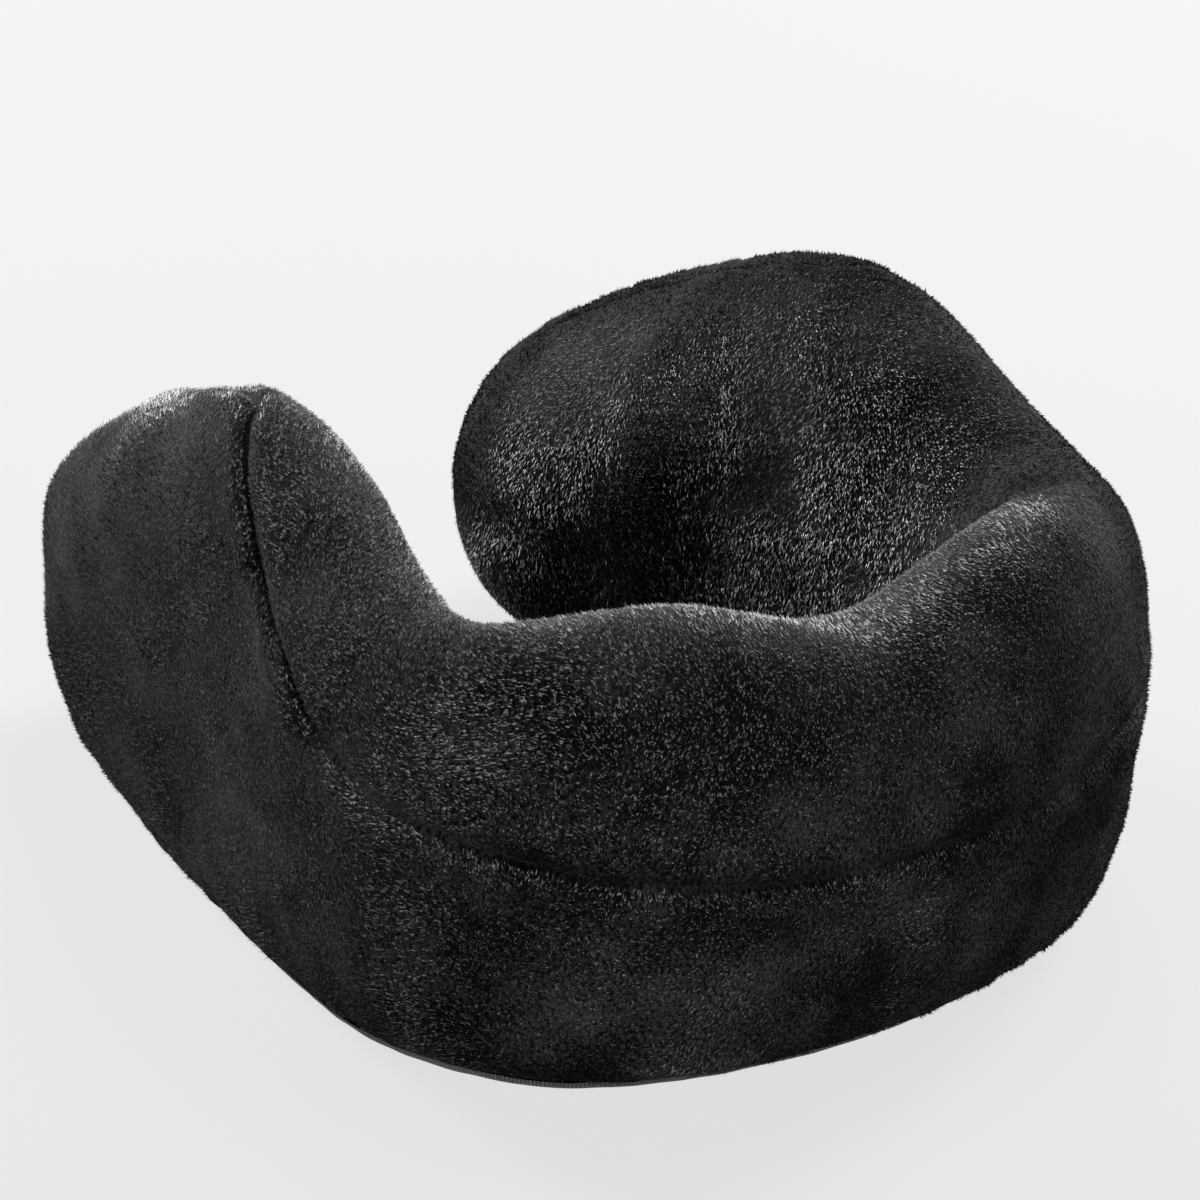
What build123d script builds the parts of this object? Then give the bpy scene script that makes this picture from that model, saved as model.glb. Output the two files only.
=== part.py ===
from build123d import *
import math
import os

# A U-shaped travel neck pillow: a moulded foam core in a knitted liner, inside a sewn plush
# cover that a coil zipper closes from below.  Sizes are in millimetres.
# +Z is up and the base rests on z = 0.  The back of the neck is at +Y, the opening at -Y,
# and the pillow mirrors about the YZ plane.

# ------------------------------------------------------------ driving dimensions
# The centre line of the U in plan, from the middle of the back to one tip:
# three arcs, each as (radius, heading in degrees where the arc ends).
BACK_Y = 102.9             # the middle of the back; it centres the pillow on the origin
CENTRE_LINE = [(176.0, 18.0), (52.5, 90.0), (400.0, 116.0)]

HALF_WIDTH = 33.0          # half of the width of the roll, as a mean along the U
HALF_WIDTH_BACK = -5.0     # added at the back and taken off at the tips
HALF_WIDTH_ENDS = 4.0      # added at the back and the tips and taken off between
CREST_HEIGHT = 93.5        # height of the crest away from its rises
REAR_RISE = 27.5           # two rises beside the middle of the back
REAR_RISE_AT = 55.0
REAR_RISE_SPREAD = 49.0
ARM_RISE = 40.0            # one tall rise on each arm, which holds the cheek
ARM_RISE_AT = 182.0
ARM_RISE_SPREAD = 65.0
CREST_SHIFT = 4.0          # how far outward the crest lies from the centre line
CREST_SHIFT_BACK = 1.0
CREST_SHIFT_ENDS = -3.0
SIDE_HEIGHT = 59.5         # height where the outer side is widest
NECK_HEIGHT_SHARE = 0.44   # height of the widest point of the neck side, of the crest's
TIP_LENGTH = 60.0          # length over which each tip closes
TIP_HEIGHT_SHARE = 0.44    # height of the point of the tip, of the crest's
TIP_PLAN_POWER = 2.2       # roundness of the tip in plan
TIP_SIDE_POWER = 2.0       # roundness of the tip from the side
TOP_OUTER_POWER = 2.2      # superellipse powers of the four quarters of a section
TOP_NECK_POWER = 2.0
BASE_NECK_POWER = 3.2
BASE_OUTER_POWER = 3.2
BASE_SINK = 1.2            # the round base is cut flat this far above its lowest line

COVER_THICKNESS = 2.2      # plush cloth with its pile
LINER_INSET = 3.6          # from the outside of the cover to the outside of the liner
LINER_THICKNESS = 0.8
FOAM_INSET = 4.8           # from the outside of the cover to the foam
SEAM_GAP = 0.3             # between the turned edges of two sewn panels
BASE_SEAM_HEIGHT = 4.0     # the base panel ends here and the upper panels begin
SEAM_START = 0.0           # the top seam, in degrees round the section: 0 is the widest
SEAM_END = 92.0            # point of the outer side and 90 the crest
SEAM_OVER_AT = 190.0       # the seam has climbed to the crest here
SEAM_CLIMB_POWER = 3.0
THREAD_RADIUS = 0.35
THREAD_INSET = 2.9         # threads lie in the space between the cover and the liner

ZIP_RADIUS = 119.5         # the zip's arc, close to the middle of the base
ZIP_OUTWARD = 2.5          # of the centre line, at the middle of the back
ZIP_HALF_ANGLE = 45.0      # of the slot, each way from the middle of the back
SLOT_HALF_WIDTH = 5.5
HEM_THICKNESS = 2.2        # the cover's turned hem round the slot
TAPE_BOTTOM = 5.2
TAPE_THICKNESS = 0.7
TAPE_WIDTH = 9.0
TAPE_EDGE = 1.2            # from the middle of the zip to the tape
TAPE_OVERRUN = 4.0         # degrees of tape past each end of the slot
TEETH_EDGE = 0.6           # from the middle of the zip to the teeth
TEETH_DEPTH = 2.3
TEETH_HEIGHT = 2.0
TOOTH_PITCH = 0.9          # degrees
TOOTH_LENGTH = 0.9
CORD_OFFSET = 0.3          # from the tape's edge to the cord that the teeth stand on
CORD_DEPTH = 0.4           # how far the teeth reach into the cord
TEETH_END_GAP = 0.5        # between the stops and the slot's ends, and the last teeth
STOP_LENGTH = 3.0
STOP_ROUND = 0.4
STITCH_LENGTH = 2.4
STITCH_PITCH = 2.0         # degrees
STITCH_THICKNESS = 0.4
SLIDER_LENGTH = 11.0
SLIDER_WIDTH = 8.4
SLIDER_ROUND = 2.0
SLIDER_FROM_END = 9.0      # from the slot's closed end to the middle of the slider
PLATE_THICKNESS = 0.9
RUNNING_GAP = 0.35         # between the slider's plates and the chain
FLANGE_THICKNESS = 0.5
FLANGE_LENGTH = 7.0
POST_LENGTH = 2.0
POST_THICKNESS = 0.6
POST_SINK = 0.5            # into each plate, and back from the slider's end
CROWN_LENGTH = 6.0
CROWN_WIDTH = 2.6
CROWN_WALL = 0.5
CROWN_RISE = 1.6           # below the slider's outer plate
CROWN_ROUND = 0.4
PULL_LENGTH = 20.0
PULL_WIDTH = 4.8
PULL_THICKNESS = 0.9
PULL_ROUND = 1.8
PULL_HOLE_RADIUS = 1.3
PULL_HOLE_FROM_END = 4.5
PULL_BAR_X = -1.9          # the pull's pivot, along the slider
PULL_EYE_HALF_WIDTH = 1.6
PULL_EYE_LENGTH = 4.2
PULL_EYE_FROM_BAR = 0.2    # so that the bar stays nearly round and turns freely
LABEL_SIZE = (26.0, 14.0, 0.3)
LABEL_ALONG = 165.0
RELIEF_CLEARANCE = 0.8
RELIEF_NEAR = 40.0         # the step's reach from the zip's arc centre, past both sides
RELIEF_FAR = 170.0
THREAD_STEP = 6.0
TOP_THREAD_SHORT = 8.0      # the threads end this far before the tips
BASE_THREAD_SHORT = 45.0

MID_STATION_STEP = 13.0    # between sections along the roll
TIP_STATIONS = 8
SECTION_POINTS = 32
SECTION_START = 135.0      # degrees, on the neck side, clear of every cut
FAR = 160.0                # beyond every surface of the pillow

PLATE_TOP = TAPE_BOTTOM - TEETH_HEIGHT - RUNNING_GAP
PLATE_BOTTOM = PLATE_TOP - PLATE_THICKNESS
UPPER_PLATE_BOTTOM = TAPE_BOTTOM + TAPE_THICKNESS + RUNNING_GAP
UPPER_PLATE_TOP = UPPER_PLATE_BOTTOM + PLATE_THICKNESS
ZIP_RELIEF_TOP = UPPER_PLATE_TOP + 0.5
ZIP_CENTRE_Y = BACK_Y + ZIP_OUTWARD - ZIP_RADIUS
ARC_DEGREE = math.radians(1) * ZIP_RADIUS
SLIDER_ANGLE = ZIP_HALF_ANGLE - SLIDER_FROM_END / ARC_DEGREE


# ------------------------------------------------------------ the pillow's surface
def arcs():
    """The centre line's arcs as (start length, end length, radius, start heading, x, y)."""
    found = []
    length, heading = 0.0, 0.0
    radius = CENTRE_LINE[0][0]
    x, y = 0.0, BACK_Y - radius
    for next_radius, end_degrees in CENTRE_LINE:
        x += (radius - next_radius) * math.sin(heading)
        y += (radius - next_radius) * math.cos(heading)
        end_heading = math.radians(end_degrees)
        end_length = length + next_radius * (end_heading - heading)
        found.append((length, end_length, next_radius, heading, x, y))
        length, heading, radius = end_length, end_heading, next_radius
    return found


ARCS = arcs()
HALF_LENGTH = ARCS[-1][1]


def centre(along):
    """Point and outward direction on the centre line, signed length from the back."""
    distance = abs(along)
    side = -1.0 if along < 0 else 1.0
    for start, end, radius, heading, x, y in ARCS:
        if distance <= end or end == HALF_LENGTH:
            angle = heading + (distance - start) / radius
            break
    px = x + radius * math.sin(angle)
    py = y + radius * math.cos(angle)
    return Vector(side * px, py), Vector(side * math.sin(angle), math.cos(angle))


def rises(along, at, spread):
    return math.exp(-(((along - at) / spread) ** 2)) + math.exp(-(((along + at) / spread) ** 2))


def roll_profile(along):
    """Half width, crest height and crest shift of the roll."""
    once = math.cos(math.pi * along / HALF_LENGTH)
    twice = math.cos(2 * math.pi * along / HALF_LENGTH)
    half_width = HALF_WIDTH + HALF_WIDTH_BACK * once + HALF_WIDTH_ENDS * twice
    crest = CREST_HEIGHT + REAR_RISE * rises(along, REAR_RISE_AT, REAR_RISE_SPREAD)
    crest += ARM_RISE * rises(along, ARM_RISE_AT, ARM_RISE_SPREAD)
    shift = CREST_SHIFT + CREST_SHIFT_BACK * once + CREST_SHIFT_ENDS * twice
    return half_width, crest, shift


def signed_power(value, power):
    return math.copysign(abs(value) ** power, value)


def tip_scale(along, inset):
    """How far the section has shrunk towards the tip's point, across and upward."""
    share = (abs(along) - (HALF_LENGTH - TIP_LENGTH)) / (TIP_LENGTH - inset)
    share = min(max(0.0, share), 1.0)
    across = (1 - share**TIP_PLAN_POWER) ** (1 / TIP_PLAN_POWER)
    upward = (1 - share**TIP_SIDE_POWER) ** (1 / TIP_SIDE_POWER)
    return across, upward


def tip_height(along):
    return TIP_HEIGHT_SHARE * roll_profile(along)[1]


def section_point(along, turn, inset=0.0):
    """(outward, height) on the section; turn is in degrees from the outer side upward."""
    half_width, crest, shift = roll_profile(along)
    cosine, sine = math.cos(math.radians(turn)), math.sin(math.radians(turn))
    outer, top = cosine >= 0, sine >= 0
    side_height = SIDE_HEIGHT if outer else NECK_HEIGHT_SHARE * crest
    if top:
        power = 2 / (TOP_OUTER_POWER if outer else TOP_NECK_POWER)
        reach_up = crest - inset - side_height
    else:
        power = 2 / (BASE_OUTER_POWER if outer else BASE_NECK_POWER)
        reach_up = side_height + BASE_SINK - inset
    height = side_height + reach_up * signed_power(sine, power)
    reach = half_width - inset - (shift if outer else -shift)
    outward = shift + reach * signed_power(cosine, power)
    across, upward = tip_scale(along, inset)
    middle = tip_height(along)
    return outward * across, middle + (height - middle) * upward


def to_space(along, outward, height):
    point, direction = centre(along)
    return Vector(point.X + outward * direction.X, point.Y + outward * direction.Y, height)


def mirrored(half):
    """Lengths on both arms, from one tip to the other."""
    return [-along for along in reversed(half[1:])] + half


def stations(inset):
    """Lengths along the U of the sections that a body is lofted through."""
    straight = HALF_LENGTH - TIP_LENGTH
    count = round(straight / MID_STATION_STEP)
    half = [straight * i / count for i in range(count + 1)]
    for i in range(1, TIP_STATIONS + 1):
        share = math.sin(math.radians(86) * i / TIP_STATIONS)
        half.append(straight + (TIP_LENGTH - inset) * share)
    return mirrored(half)


def section_wire(along, inset):
    """A closed spline; every section has the same parameters, which keeps the loft light."""
    turns = [(SECTION_START + 360 * i / SECTION_POINTS) % 360 for i in range(SECTION_POINTS)]
    points = [to_space(along, *section_point(along, turn, inset)) for turn in turns]
    parameters = [i / SECTION_POINTS for i in range(SECTION_POINTS + 1)]
    return Wire([Edge.make_spline(points, periodic=True, parameters=parameters)])


def slab(bottom, top):
    return Pos(0, 0, (bottom + top) / 2) * Box(6 * FAR, 6 * FAR, top - bottom)


def roll_body(inset):
    """The whole roll, inset from the outer surface, with its flat base."""
    body = Solid.make_loft([section_wire(along, inset) for along in stations(inset)])
    return body - slab(-FAR, inset)


# ------------------------------------------------------------ the cover's panels
def seam_turn(along):
    """Where the top seam crosses the section: low at the back, over the crest at the tips."""
    share = min(1.0, abs(along) / SEAM_OVER_AT)
    return SEAM_START + (SEAM_END - SEAM_START) * share**SEAM_CLIMB_POWER


def seam_stations():
    count = 24
    half = [HALF_LENGTH * i / count for i in range(count + 1)]
    return mirrored(half + [HALF_LENGTH + 20.0])


def strip_wire(along, start, end):
    """A thin rectangle round the line from start to end, both (outward, height)."""
    dx, dz = end[0] - start[0], end[1] - start[1]
    length = math.hypot(dx, dz)
    side_x, side_z = -dz / length * SEAM_GAP / 2, dx / length * SEAM_GAP / 2
    corners = [
        (start[0] + side_x, start[1] + side_z),
        (start[0] - side_x, start[1] - side_z),
        (end[0] - side_x, end[1] - side_z),
        (end[0] + side_x, end[1] + side_z),
    ]
    return Wire.make_polygon([to_space(along, *corner) for corner in corners], close=True)


def seam_sheets():
    """Two thin sheets that part the cover: from the roll's middle through the top seam, and
    straight down, which parts the tips below their points."""
    upper, lower = [], []
    for along in seam_stations():
        middle = tip_height(along)
        inside = min(abs(along), HALF_LENGTH - 0.3 * TIP_LENGTH)
        outward, height = section_point(inside, seam_turn(along))
        dx, dz = outward, height - tip_height(inside)
        length = math.hypot(dx, dz)
        dx, dz = dx / length, dz / length
        upper.append(strip_wire(along, (-dx, middle - dz), (FAR * dx, middle + FAR * dz)))
        lower.append(strip_wire(along, (0.0, middle + 1.0), (0.0, -20.0)))
    return [Solid.make_loft(wires, ruled=True) for wires in (upper, lower)]


def cover_panels():
    """Top panel, side band and base panel, parted along the seams."""
    shell = roll_body(0) - roll_body(COVER_THICKNESS)
    base = shell & slab(-FAR, BASE_SEAM_HEIGHT - SEAM_GAP / 2)
    rest = shell - slab(-FAR, BASE_SEAM_HEIGHT + SEAM_GAP / 2)
    for sheet in seam_sheets():
        rest = rest - sheet
    top, band = sorted(rest.solids(), key=lambda solid: solid.bounding_box().size.X)[-2:]
    return top, band, base.solids()[0]


def thread(points):
    """A thread through (along, outward, height) points, as a six-sided rod."""
    wires = []
    for along, outward, height in points:
        ring = [math.radians(60 * i) for i in range(6)]
        wires.append(
            Wire.make_polygon(
                [
                    to_space(
                        along,
                        outward + THREAD_RADIUS * math.cos(a),
                        height + THREAD_RADIUS * math.sin(a),
                    )
                    for a in ring
                ],
                close=True,
            )
        )
    return Solid.make_loft(wires, ruled=True)


def spaced(half_length, step):
    """Lengths from -half_length to half_length, about a step apart."""
    count = 2 * math.ceil(half_length / step)
    return [-half_length + 2 * half_length * i / count for i in range(count + 1)]


def top_seam_thread():
    points = []
    for along in spaced(HALF_LENGTH - TOP_THREAD_SHORT, THREAD_STEP):
        points.append((along, *section_point(along, seam_turn(along), THREAD_INSET)))
    return thread(points)


def base_seam_thread(outer):
    """The thread that joins the base panel to the band (outer) or the top panel."""
    power = 2 / (BASE_OUTER_POWER if outer else BASE_NECK_POWER)
    points = []
    for along in spaced(HALF_LENGTH - BASE_THREAD_SHORT, THREAD_STEP):
        crest = roll_profile(along)[1]
        side_height = SIDE_HEIGHT if outer else NECK_HEIGHT_SHARE * crest
        middle = tip_height(along)
        upward = tip_scale(along, THREAD_INSET)[1]
        full_height = middle + (BASE_SEAM_HEIGHT - middle) / upward
        sine = (side_height - full_height) / (side_height + BASE_SINK - THREAD_INSET)
        turn = math.degrees(math.asin(min(1.0, sine) ** (1 / power)))
        place = section_point(along, 360 - turn if outer else 180 + turn, THREAD_INSET)
        points.append((along, *place))
    return thread(points)


# ------------------------------------------------------------ liner, core and label
def ring_sector(inner, outer, half_angle, bottom, top):
    """Part of a flat ring round the zip's arc centre, astride the middle of the back."""
    profile = Plane.XZ * Pos((inner + outer) / 2, (bottom + top) / 2)
    face = Rot(0, 0, 90 - half_angle) * (profile * Rectangle(outer - inner, top - bottom))
    return Pos(0, ZIP_CENTRE_Y, 0) * revolve(face, Axis.Z, 2 * half_angle)


def zip_relief(clearance):
    """The step in the underside, right across the roll, which leaves room for the zip."""
    half_angle = ZIP_HALF_ANGLE + TAPE_OVERRUN + clearance / ARC_DEGREE
    return ring_sector(RELIEF_NEAR, RELIEF_FAR, half_angle, -1, ZIP_RELIEF_TOP + clearance)


def inner_liner():
    outside = roll_body(LINER_INSET) - zip_relief(RELIEF_CLEARANCE)
    inside = roll_body(LINER_INSET + LINER_THICKNESS)
    return outside - (inside - zip_relief(RELIEF_CLEARANCE + LINER_THICKNESS))


def foam_core():
    gap = FOAM_INSET - LINER_INSET
    return roll_body(FOAM_INSET) - zip_relief(RELIEF_CLEARANCE + gap)


def care_label():
    """A blank folded ribbon, which lies between the base panel and the liner."""
    point, direction = centre(LABEL_ALONG)
    length, width, thickness = LABEL_SIZE
    height = (COVER_THICKNESS + LINER_INSET) / 2
    heading = math.degrees(math.atan2(direction.Y, direction.X))
    return Pos(point.X, point.Y, height) * Rot(0, 0, heading) * Box(width, length, thickness)


# ------------------------------------------------------------ the zip
def on_zip(angle):
    """Place on the zip's arc: local X along the zip towards +X, local Y outward."""
    radians = math.radians(angle)
    x, y = ZIP_RADIUS * math.sin(radians), ZIP_RADIUS * math.cos(radians)
    return Pos(x, ZIP_CENTRE_Y + y, 0) * Rot(0, 0, -angle)


def strip_beside_zip(side, near, far, half_angle, bottom, top):
    """A ring sector on one side of the zip, 1 outward and -1 inward."""
    edges = sorted((ZIP_RADIUS + side * near, ZIP_RADIUS + side * far))
    return ring_sector(edges[0], edges[1], half_angle, bottom, top)


def cut_zip_slot(base):
    """The base panel with the zip's slot and the turned hem round it."""
    low, high = ZIP_RADIUS - SLOT_HALF_WIDTH, ZIP_RADIUS + SLOT_HALF_WIDTH
    hem_angle = ZIP_HALF_ANGLE + HEM_THICKNESS / ARC_DEGREE
    hem_bottom = COVER_THICKNESS / 2
    hem = ring_sector(
        low - HEM_THICKNESS, high + HEM_THICKNESS, hem_angle, hem_bottom, TAPE_BOTTOM
    )
    return base + hem - ring_sector(low, high, ZIP_HALF_ANGLE, -1, TAPE_BOTTOM + 1)


def zipper_tape(side):
    half_angle = ZIP_HALF_ANGLE + TAPE_OVERRUN
    far = TAPE_EDGE + TAPE_WIDTH
    top = TAPE_BOTTOM + TAPE_THICKNESS
    return strip_beside_zip(side, TAPE_EDGE, far, half_angle, TAPE_BOTTOM, top)


def teeth_half_angle():
    return ZIP_HALF_ANGLE - (STOP_LENGTH + 2 * TEETH_END_GAP) / ARC_DEGREE


def angles(half_angle, pitch, shift=0.0):
    count = int(2 * half_angle / pitch)
    return [-half_angle + pitch * (i + 0.5 + shift) for i in range(count)]


def zipper_teeth(side):
    """One row of the coil: a cord along the tape with teeth towards the middle."""
    bottom = TAPE_BOTTOM - TEETH_HEIGHT
    cord_near = TAPE_EDGE + CORD_OFFSET
    far = TEETH_EDGE + TEETH_DEPTH
    row = strip_beside_zip(side, cord_near, far, teeth_half_angle(), bottom, TAPE_BOTTOM)
    reach = cord_near + CORD_DEPTH - TEETH_EDGE
    middle = side * (TEETH_EDGE + reach / 2)
    tooth = Pos(0, middle, bottom + TEETH_HEIGHT / 2) * Box(TOOTH_LENGTH, reach, TEETH_HEIGHT)
    shift = 0.25 * side
    teeth = [on_zip(angle) * tooth for angle in angles(teeth_half_angle(), TOOTH_PITCH, shift)]
    return row.fuse(*teeth)


def zipper_stitching():
    """The stitches that hold both tapes to the hem."""
    middle = SLOT_HALF_WIDTH + HEM_THICKNESS / 2
    height = TAPE_BOTTOM + TAPE_THICKNESS + STITCH_THICKNESS / 2
    stitches = []
    for side in (1, -1):
        stitch = Pos(0, side * middle, height) * Box(
            STITCH_LENGTH, 2 * THREAD_RADIUS, STITCH_THICKNESS
        )
        stitches += [on_zip(angle) * stitch for angle in angles(ZIP_HALF_ANGLE, STITCH_PITCH)]
    return Compound(children=[Solid(stitch.solids()[0].wrapped) for stitch in stitches])


def end_stop(width, end, outward=0.0):
    """A clip at one end of the chain, under the tape: end is 1 towards +X."""
    angle = end * (ZIP_HALF_ANGLE - (STOP_LENGTH / 2 + TEETH_END_GAP) / ARC_DEGREE)
    middle = TAPE_BOTTOM - TEETH_HEIGHT / 2
    clip = Pos(0, outward, middle) * Box(STOP_LENGTH, width, TEETH_HEIGHT)
    return on_zip(angle) * fillet(clip.edges().filter_by(Axis.Z), STOP_ROUND)


def zipper_top_stops():
    """A pair of clips, one on each tape."""
    outward = TEETH_EDGE + TEETH_DEPTH / 2
    stops = [end_stop(TEETH_DEPTH, 1, side * outward) for side in (1, -1)]
    return Compound(children=[Solid(stop.solids()[0].wrapped) for stop in stops])


def zipper_slider():
    """Body of the slider: two plates, a post between the rows and two low flanges."""
    plate = Box(SLIDER_LENGTH, SLIDER_WIDTH, PLATE_THICKNESS)
    plate = fillet(plate.edges().filter_by(Axis.Z), SLIDER_ROUND)
    body = Pos(0, 0, (PLATE_TOP + PLATE_BOTTOM) / 2) * plate
    body += Pos(0, 0, (UPPER_PLATE_TOP + UPPER_PLATE_BOTTOM) / 2) * plate
    post_height = UPPER_PLATE_BOTTOM - PLATE_TOP + 2 * POST_SINK
    post_x = (SLIDER_LENGTH - POST_LENGTH) / 2 - POST_SINK
    post = Box(POST_LENGTH, POST_THICKNESS, post_height)
    body += Pos(post_x, 0, (PLATE_TOP + UPPER_PLATE_BOTTOM) / 2) * post
    flange_top = TAPE_BOTTOM - RUNNING_GAP
    flange_bottom = (PLATE_BOTTOM + PLATE_TOP) / 2
    flange_y = (SLIDER_WIDTH - FLANGE_THICKNESS) / 2
    flange = Box(FLANGE_LENGTH, FLANGE_THICKNESS, flange_top - flange_bottom)
    for side in (1, -1):
        body += Pos(0, side * flange_y, (flange_bottom + flange_top) / 2) * flange
    return on_zip(SLIDER_ANGLE) * body


def zipper_crown():
    """The low arch on the slider that holds the pull."""
    arch = Box(CROWN_LENGTH, CROWN_WIDTH, CROWN_RISE)
    arch = fillet(arch.edges().filter_by(Axis.Y).sort_by(Axis.Z)[:2], CROWN_ROUND)
    hollow = Box(CROWN_LENGTH - 2 * CROWN_WALL, 2 * CROWN_WIDTH, CROWN_RISE)
    arch -= Pos(0, 0, CROWN_WALL) * hollow
    return on_zip(SLIDER_ANGLE) * Pos(0, 0, PLATE_BOTTOM - CROWN_RISE / 2) * arch


def pull_bar_height():
    return PLATE_BOTTOM - (CROWN_RISE - CROWN_WALL) / 2


def zipper_pull():
    """A flat pull with an eye; the bar at its end passes under the crown."""
    bar_radius = PULL_THICKNESS / 2
    through = 2 * PULL_THICKNESS
    blade = Pos(-PULL_LENGTH / 2, 0, 0) * Box(PULL_LENGTH, PULL_WIDTH, PULL_THICKNESS)
    blade = fillet(blade.edges().filter_by(Axis.Z).sort_by(Axis.X)[:2], PULL_ROUND)
    blade += Rot(90, 0, 0) * Cylinder(bar_radius, PULL_WIDTH)
    eye = Box(PULL_EYE_LENGTH, 2 * PULL_EYE_HALF_WIDTH, through)
    blade -= Pos(-PULL_EYE_LENGTH / 2 - PULL_EYE_FROM_BAR, 0, 0) * eye
    blade -= Pos(PULL_HOLE_FROM_END - PULL_LENGTH, 0, 0) * Cylinder(PULL_HOLE_RADIUS, through)
    return on_zip(SLIDER_ANGLE) * Pos(PULL_BAR_X, 0, pull_bar_height()) * blade


# ------------------------------------------------------------ all the pieces
def pieces():
    top, band, base = cover_panels()
    return {
        "cover_top_panel": top,
        "cover_side_band": band,
        "cover_base_panel": cut_zip_slot(base),
        "top_seam_thread": top_seam_thread(),
        "base_seam_thread_outer": base_seam_thread(True),
        "base_seam_thread_neck": base_seam_thread(False),
        "foam_core": foam_core(),
        "inner_liner": inner_liner(),
        "care_label": care_label(),
        "zipper_tape_outer": zipper_tape(1),
        "zipper_tape_inner": zipper_tape(-1),
        "zipper_teeth_outer": zipper_teeth(1),
        "zipper_teeth_inner": zipper_teeth(-1),
        "zipper_stitching": zipper_stitching(),
        "zipper_top_stops": zipper_top_stops(),
        "zipper_bottom_stop": end_stop(2 * (TEETH_EDGE + TEETH_DEPTH), -1),
        "zipper_slider": zipper_slider(),
        "zipper_crown": zipper_crown(),
        "zipper_pull": zipper_pull(),
    }


if __name__ == "__main__":
    os.makedirs("parts", exist_ok=True)
    for name, shape in pieces().items():
        export_step(shape, f"parts/{name}.step")
    slider = on_zip(SLIDER_ANGLE).position
    print("zip centre y", ZIP_CENTRE_Y, "slider", slider, "angle", SLIDER_ANGLE)
    print("pull bar height", pull_bar_height(), "half length", HALF_LENGTH)
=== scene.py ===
import math

import bpy
import numpy as np
from mathutils import Matrix, Vector


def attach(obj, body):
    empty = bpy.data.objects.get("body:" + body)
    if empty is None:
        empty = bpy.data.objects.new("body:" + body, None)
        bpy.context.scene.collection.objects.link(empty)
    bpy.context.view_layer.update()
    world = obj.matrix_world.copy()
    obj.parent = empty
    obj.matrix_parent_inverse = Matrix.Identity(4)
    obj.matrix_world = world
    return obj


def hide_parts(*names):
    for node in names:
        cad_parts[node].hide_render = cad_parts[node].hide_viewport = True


# The looks of a U-shaped travel neck pillow: a plush cover of a top panel and a side band, sewn
# to a smooth base panel with a zip, over a knitted liner and a foam core.
# The pillow's surface is the same formula as in the CAD part, in millimetres, and becomes
# metres when a mesh is made.

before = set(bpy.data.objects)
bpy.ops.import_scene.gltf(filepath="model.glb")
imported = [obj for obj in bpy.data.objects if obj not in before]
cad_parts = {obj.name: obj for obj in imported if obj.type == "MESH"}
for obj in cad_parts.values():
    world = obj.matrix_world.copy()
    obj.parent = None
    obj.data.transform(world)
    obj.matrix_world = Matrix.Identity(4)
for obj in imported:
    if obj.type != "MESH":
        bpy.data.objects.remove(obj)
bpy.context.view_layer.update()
MM = 0.001
RNG = np.random.default_rng(7)

# ------------------------------------------------------------ driving dimensions
BACK_Y = 102.9
CENTRE_LINE = [(176.0, 18.0), (52.5, 90.0), (400.0, 116.0)]
HALF_WIDTH, HALF_WIDTH_BACK, HALF_WIDTH_ENDS = 33.0, -5.0, 4.0
CREST_HEIGHT = 93.5
REAR_RISE, REAR_RISE_AT, REAR_RISE_SPREAD = 27.5, 55.0, 49.0
ARM_RISE, ARM_RISE_AT, ARM_RISE_SPREAD = 40.0, 182.0, 65.0
CREST_SHIFT, CREST_SHIFT_BACK, CREST_SHIFT_ENDS = 4.0, 1.0, -3.0
SIDE_HEIGHT = 59.5
NECK_HEIGHT_SHARE = 0.44
TIP_LENGTH = 60.0
TIP_HEIGHT_SHARE = 0.44
TIP_PLAN_POWER, TIP_SIDE_POWER = 2.2, 2.0
TOP_OUTER_POWER, TOP_NECK_POWER = 2.2, 2.0
BASE_OUTER_POWER, BASE_NECK_POWER = 3.2, 3.2
BASE_SINK = 1.2
BASE_SEAM_HEIGHT = 4.0
SEAM_START, SEAM_END, SEAM_OVER_AT, SEAM_CLIMB_POWER = 0.0, 92.0, 190.0, 3.0
LINER_INSET = 3.6
FOAM_INSET = 4.8
ZIP_RADIUS = 119.5
ZIP_OUTWARD = 2.5
ZIP_CENTRE_Y = BACK_Y + ZIP_OUTWARD - ZIP_RADIUS
ZIP_HALF_ANGLE = 45.0
SLOT_HALF_WIDTH = 5.5
RELIEF_HALF_ANGLE = 50.0
RELIEF_TOP = 9.0

DITCH_DEPTH, DITCH_WIDTH = 2.4, 2.1      # the turned top seam
ROLL_HEIGHT, ROLL_AT, ROLL_WIDTH = 0.9, 7.0, 4.5   # the cloth swells beside it
SEAM_BARE = 1.5                          # no pile stands this near to a seam
BASE_DITCH_DEPTH, BASE_DITCH_WIDTH = 1.5, 2.2
HEM_DEPTH = 5.0                          # cloth turned inward at every seam
CLOSING_LENGTH = 30.0                    # seams fade out where a panel is narrower than this
FLAT_RISE = 10.0                         # folds start above the flat base within this height
END_EASING = 0.98                        # how nearly a row's columns bunch up at its ends

PILE_DENSITY = 1.6                       # fibres per square millimetre
FIBRE_LENGTH, FIBRE_WIDTH = 1.3, 0.42
PILE_ROW, PILE_ROW_TURN = 1.25, 0.62     # spacing of the knitted rows, and their slant
FIBRE_SINK = 0.15                        # the foot stands below the ground cloth

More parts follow.
